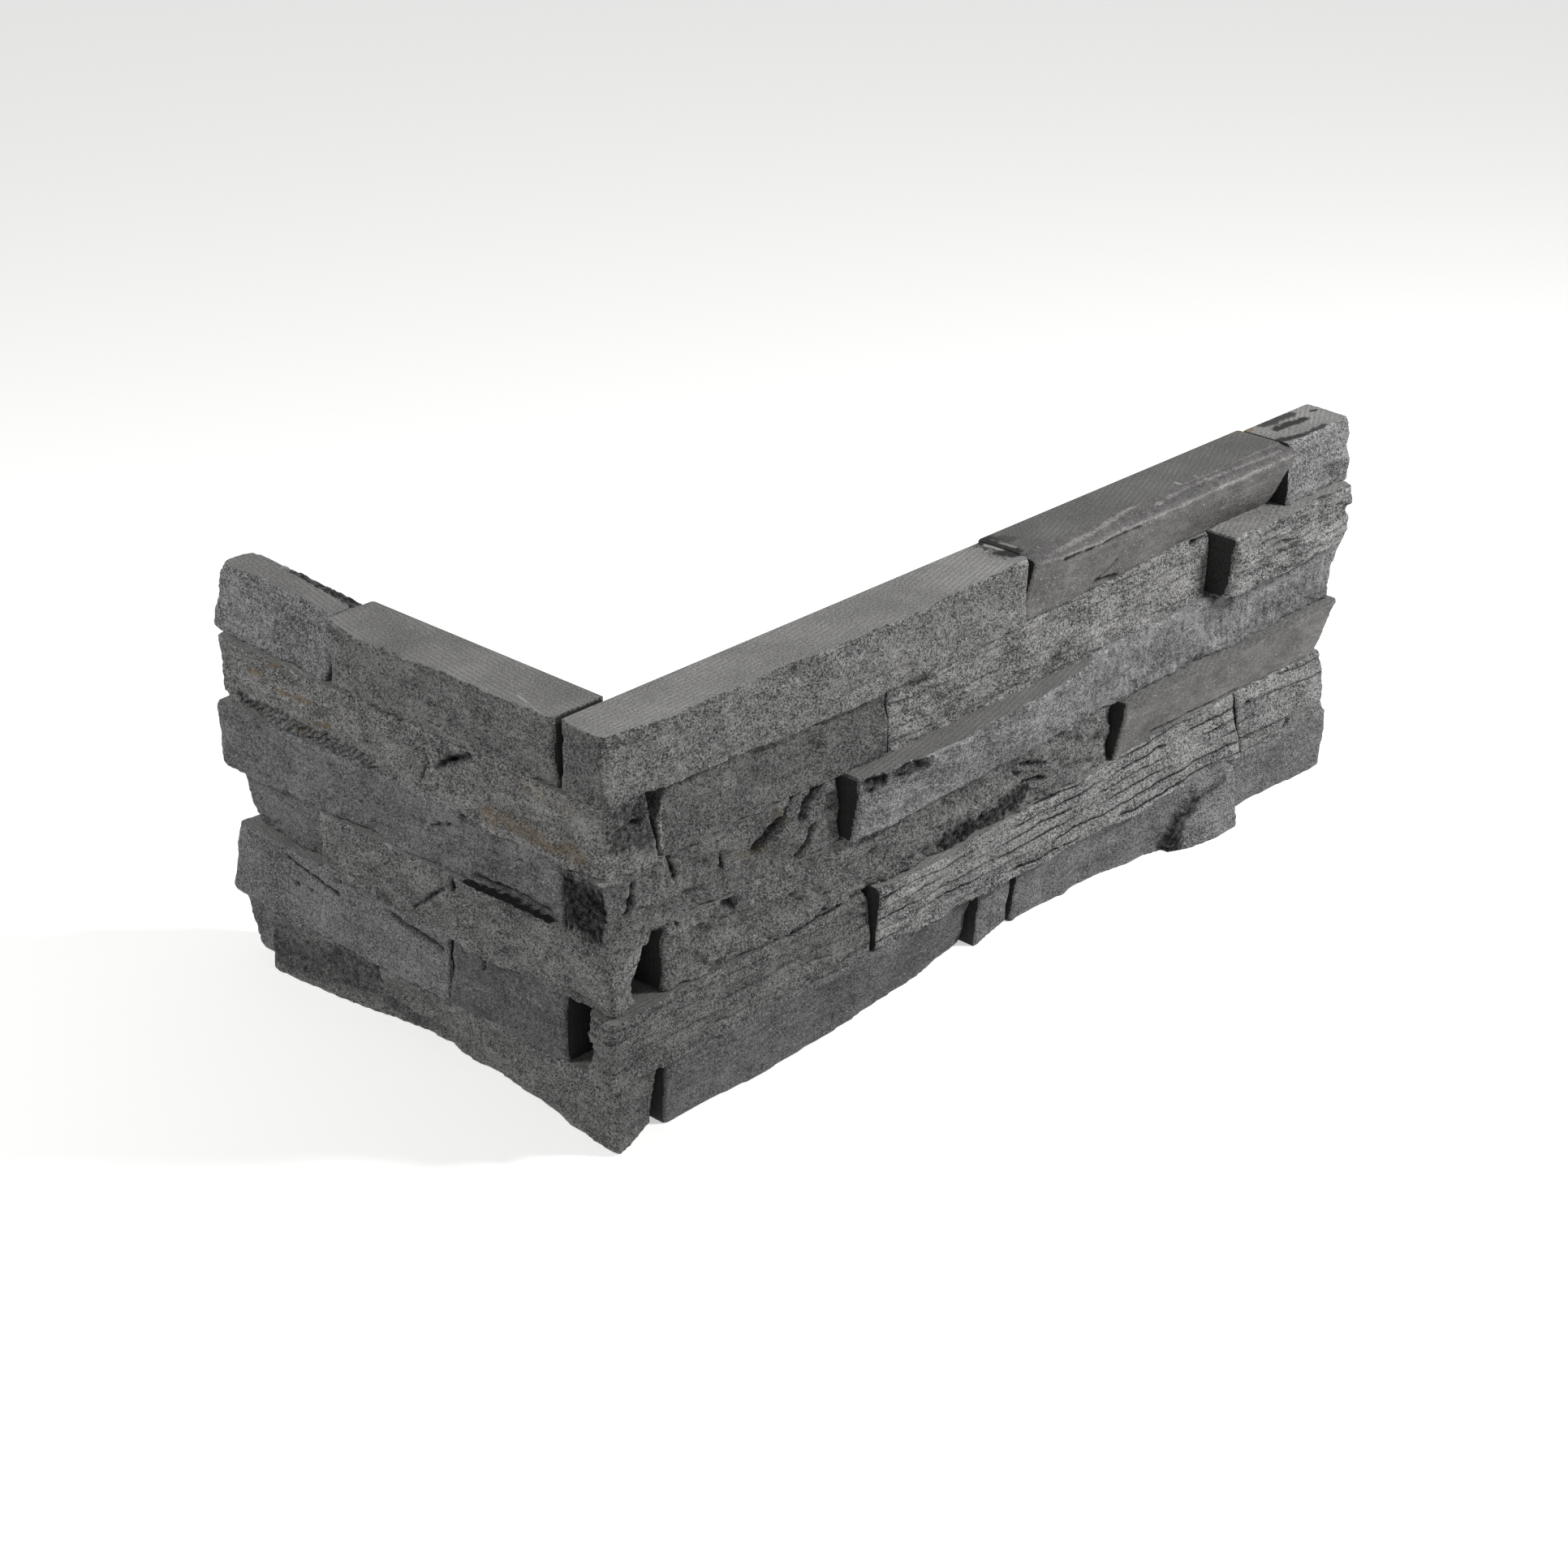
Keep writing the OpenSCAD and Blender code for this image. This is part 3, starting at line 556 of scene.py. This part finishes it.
def addMarks(marks, side, place, out, dark, bruiseAndHighlight):
    # What the marks on one side of a stone make of the relief and tone at a point, with painted shade in
    # cracks, hollows and teeth
    along, height = ((place.y, place.z), (place.x, place.z), (place.x, place.y))["xyz".index(side)]
    wobble = noise.noise(place / 2.5)
    rust = 0
    for mark in marks:
        if mark[0] != side:
            continue
        on = onMark(along, height, mark, wobble)
        kind, amount = mark[1], mark[7]
        if on <= 0:
            continue
        if kind == "crack":
            out -= marking["deepen"] * amount * ease(on, 0, 0.7)
            # painted shade in the crack
            dark = max(dark, marking["crack"] * ease(on, 0.2, 0.8))
        elif kind == "hollow":
            out -= marking["deepen"] * amount * ease(on, 0, 0.9)
            # painted shade in the hollow
            dark = max(dark, marking["hollow"] * ease(on, 0.1, 0.9))
        elif kind == "teeth":
            slant = 2 * math.pi * (along + 1.3 * height + 2 * wobble) / marking["pitch"]
            tooth = 0.5 + 0.5 * math.sin(slant)
            out -= amount * tooth * ease(on, 0, 0.5)
            # painted shade in the notches
            dark = max(dark, marking["teeth"] * tooth * ease(on, 0, 0.5))
        elif kind == "shell":
            out += amount * ease(on, 0, 0.06)
        elif kind == "rust":
            rust = max(rust, amount * ease(on - 1.2 * max(noise.noise(place / 3.5), 0), 0, 0.8))
        # a dark mark only darkens the colour; some stand for painted shade
        elif kind == "dark":
            mottle = min(amount * (0.9 + 0.5 * noise.noise(place / 1.8)), marking["darkest"])
            dark = max(dark, mottle * ease(on + 0.4 * noise.noise(place / 1.3), 0, 0.5))
            bruiseAndHighlight = 0
        # a pale mark lightens the colour; some stand for painted highlights on an arris
        elif kind == "pale":
            dark = min(dark, -amount * ease(on, 0, 0.6))
    return out, dark, bruiseAndHighlight, rust


def makeNet(piece, cuts):
    # The plain stone with its corners cut off, as a net of small even faces
    bm = bmesh.new()
    bm.from_mesh(piece.data)
    bmesh.ops.remove_doubles(bm, verts=bm.verts, dist=net["merge"] * mm)
    for point, outward in cuts:
        cut = bmesh.ops.bisect_plane(bm, geom=bm.verts[:] + bm.edges[:] + bm.faces[:], clear_outer=True,
                                     plane_co=Vector(point) * mm, plane_no=outward)["geom_cut"]
        bmesh.ops.holes_fill(bm, edges=[e for e in cut if isinstance(e, bmesh.types.BMEdge)])
    bm.to_mesh(piece.data)
    bm.free()
    voxels = piece.modifiers.new("net", "REMESH")
    voxels.mode = "VOXEL"
    voxels.voxel_size = net["step"] * mm
    mesh = bpy.data.meshes.new_from_object(piece.evaluated_get(bpy.context.evaluated_depsgraph_get()))
    piece.modifiers.clear()
    return mesh


def makeStone(node, look, seed):
    # A corner stone of an even course lies along the long leg
    onLongLeg = "long" in node or "corner" in node and int(node[len("course")]) % 2 == 0
    run, depth = (0, 1) if onLongLeg else (1, 0)
    lowest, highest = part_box(node)
    piece = bpy.data.objects.new("stone_" + node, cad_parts[node].data.copy())
    scene.collection.objects.link(piece)
    piece.data = makeNet(piece, look["cuts"])
    piece.data.materials.clear()
    for material in (split[look["finish"]], sawn["bed"], sawn["end"]):
        piece.data.materials.append(material)
    bm = bmesh.new()
    bm.from_mesh(piece.data)
    toneAndShadingLayer = bm.verts.layers.float.new("tone")
    rustLayer = bm.verts.layers.float.new("rust")
    bedLayer = bm.verts.layers.float.new("sawnTone")
    seamLayer = bm.verts.layers.float_vector.new("seam")

    # The sawn planes go back to being flat: two beds, the back, and the ends that aren't broken.
    # Each is an axis, a place on it, and the number of its material.
    planes = [(2, lowest.z, 1), (2, highest.z, 1), (depth, highest[depth], 1)]
    if "start" not in look["broken"]:
        planes.append((run, lowest[run], 2))
    if "end" not in look["broken"]:
        planes.append((run, highest[run], 2))
    for axis, at, number in planes:
        onPlane = {v for v in bm.verts if abs(v.co[axis] - at) < net["snap"] * mm}
        for v in onPlane:
            v.co[axis] = at
        faces = [f for f in bm.faces if all(v in onPlane for v in f.verts)]
        for f in bmesh.ops.dissolve_faces(bm, faces=faces, use_verts=False)["region"]:
            f.material_index = number
    upright = [plane[:2] for plane in planes[2:]]
    sawnVerts = {v for f in bm.faces if f.material_index for v in f.verts}
    rough = [v for v in bm.verts if v not in sawnVerts]
    arris = [v for v in bm.verts if v in sawnVerts
             and all(abs(v.co[axis] - at) > net["clear"] * mm for axis, at in upright)]
    for _ in range(net["smoothing"]):
        bmesh.ops.smooth_vert(bm, verts=rough, factor=0.5,
                              use_axis_x=True, use_axis_y=True, use_axis_z=True)
    for _ in range(net["arrisSmoothing"]):
        bmesh.ops.smooth_vert(bm, verts=arris, factor=0.5,
                              use_axis_x=True, use_axis_y=True, use_axis_z=False)
    bm.normal_update()

    moved = []
    for v in rough + arris:
        place = v.co / mm
        along, height = place[run], place.z
        base, top = height - lowest.z / mm, highest.z / mm - height
        edge = -base if base < top else top
        out, seam, bruiseAndHighlight, facing = splitRelief(place, along, height, edge, look, seed)
        # the far end of a leg is snapped off cleaner than its face
        if "end" in look["broken"]:
            least, low, high = relief["farEnd"]
            out *= least + (1 - least) * ease(highest[run] / mm - along, low, high)
        # and the unit's lowest edge is crisp
        if lowest.z < mm:
            least, low, high = relief["foot"]
            out *= least + (1 - least) * ease(base, low, high)
        # painted shade in the seam's crack
        dark = min(shading["seam"] * seam, shading["darkestSeam"])
        side = "xyz"[max(range(3), key=lambda axis: abs(v.normal[axis]))]
        out, dark, bruiseAndHighlight, rust = addMarks(look["marks"], side, place, out, dark, bruiseAndHighlight)
        # nothing stands out beside a sawn back or end, where the stone keeps its arris
        for axis, at in upright:
            out *= ease(abs(v.co[axis] - at) / mm, *relief["beside"])
        outward = v.normal.copy()
        if v in sawnVerts:
            outward.z = 0
            outward.normalize()
        moved.append((v, v.co + outward * out * mm))
        # painted light where the stone stands out and painted shade where it sinks
        reliefLightAndShade = shading["reliefLightAndShade"] * max(min(out, shading["to"]), shading["from"])
        v[toneAndShadingLayer] = look["tone"] * (1 + reliefLightAndShade + bruiseAndHighlight) * (1 - dark)
        v[rustLayer] = rust
        v[seamLayer] = facing
    for v in bm.verts:
        v[bedLayer] = look["bed"]
        if v[toneAndShadingLayer] == 0:
            v[toneAndShadingLayer] = look["tone"]
    for v, place in moved:
        v.co = place
        v.co.z = min(max(place.z, lowest.z), highest.z)
    for f in bm.faces:
        f.smooth = f.material_index == 0
    for e in bm.edges:
        e.smooth = len({f.material_index for f in e.link_faces}) == 1
    bm.to_mesh(piece.data)
    bm.free()
    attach(piece, "root")
    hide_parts(node)
    return piece


count = 0
for number, (node, look) in enumerate(stones.items()):
    stone = makeStone(node, {**usual, **look}, number * 3.7 + 1.3)
    count += sum(len(f.vertices) - 2 for f in stone.data.polygons)
print("stones made,", count, "triangles")

# The floor's colour and radius in metres, how much it glows where it is seen, and the world's light
studio = {"floor": "#f2f2f0", "radius": 6, "glow": 0.5, "ambient": 0.21}


def isSeen(owner):
    # 1 for a ray from the camera, or one that a glossy or clear surface sends on
    ray = addNode(owner, "ShaderNodeLightPath", {}).outputs
    seen = addNode(owner, "ShaderNodeMath", {
        0: ray["Is Camera Ray"], 1: ray["Is Glossy Ray"]}, operation="MAXIMUM").outputs[0]
    return addNode(owner, "ShaderNodeMath", {
        0: seen, 1: ray["Is Transmission Ray"]}, operation="MAXIMUM").outputs[0]


def makeFloor():
    bm = bmesh.new()
    bmesh.ops.create_circle(bm, cap_ends=True, radius=studio["radius"], segments=64)
    mesh = bpy.data.meshes.new("floor")
    bm.to_mesh(mesh)
    bm.free()
    floor = bpy.data.objects.new("floor", mesh)
    scene.collection.objects.link(floor)
    material = newMaterial("studio_floor")
    surface = addNode(material, "ShaderNodeBsdfPrincipled", {
        "Base Color": linear(studio["floor"]), "Roughness": 0.9}).outputs[0]
    # seen or reflected, the floor is nearly as white as the background, and keeps a faint shadow
    glow = addNode(material, "ShaderNodeMath", {
        0: isSeen(material), 1: studio["glow"]}, operation="MULTIPLY").outputs[0]
    glow = addNode(material, "ShaderNodeEmission", {"Strength": glow}).outputs[0]
    surface = addNode(material, "ShaderNodeAddShader", {0: surface, 1: glow}).outputs[0]
    addNode(material, "ShaderNodeOutputMaterial", {"Surface": surface})
    mesh.materials.append(material)


makeFloor()

# Softboxes: place and aim in metres, size in metres, power in watts
lamps = {
    "key": {"place": (0.66, -0.62, 0.72), "aim": (0.15, 0.0, 0.07), "size": 0.18, "power": 8.6},
    "fill": {"place": (-0.62, 0.5, 0.65), "aim": (0.0, 0.08, 0.07), "size": 0.3, "power": 3.7},
}
for name, lamp in lamps.items():
    light = bpy.data.lights.new(name, "AREA")
    light.shape = "DISK"
    light.size = lamp["size"]
    light.energy = lamp["power"]
    box = bpy.data.objects.new(name, light)
    scene.collection.objects.link(box)
    box.location = lamp["place"]
    box.rotation_euler = (Vector(lamp["aim"]) - box.location).to_track_quat("-Z", "Y").to_euler()

# The world is white where it is seen, and lights the stones only a little
world = bpy.data.worlds.new("studio")
scene.world = world
world.use_nodes = True
world.node_tree.nodes.clear()
strength = addNode(world, "ShaderNodeMapRange", {
    0: isSeen(world), 1: 0, 2: 1, 3: studio["ambient"], 4: 1.0}).outputs[0]
sky = addNode(world, "ShaderNodeBackground", {"Color": (1, 1, 1, 1), "Strength": strength}).outputs[0]
addNode(world, "ShaderNodeOutputWorld", {"Surface": sky})

# The photograph's view: angles in degrees, lengths in metres, lens and sensor in millimetres
view = {"azimuth": -46.64, "elevation": 26.34, "distance": 1.1135, "aim": (0.1038, 0.0228, 0.075),
        "lens": 73.32, "sensor": 36}
camera = bpy.data.objects.new("camera", bpy.data.cameras.new("camera"))
scene.collection.objects.link(camera)
turn, lift = math.radians(view["azimuth"]), math.radians(view["elevation"])
back = Vector((math.sin(turn) * math.cos(lift), -math.cos(turn) * math.cos(lift), math.sin(lift)))
camera.location = Vector(view["aim"]) + back * view["distance"]
camera.rotation_euler = back.to_track_quat("Z", "Y").to_euler()
camera.data.lens = view["lens"]
camera.data.sensor_width = view["sensor"]
scene.camera = camera
scene.view_settings.view_transform = "Standard"
print("floor, light and camera set")
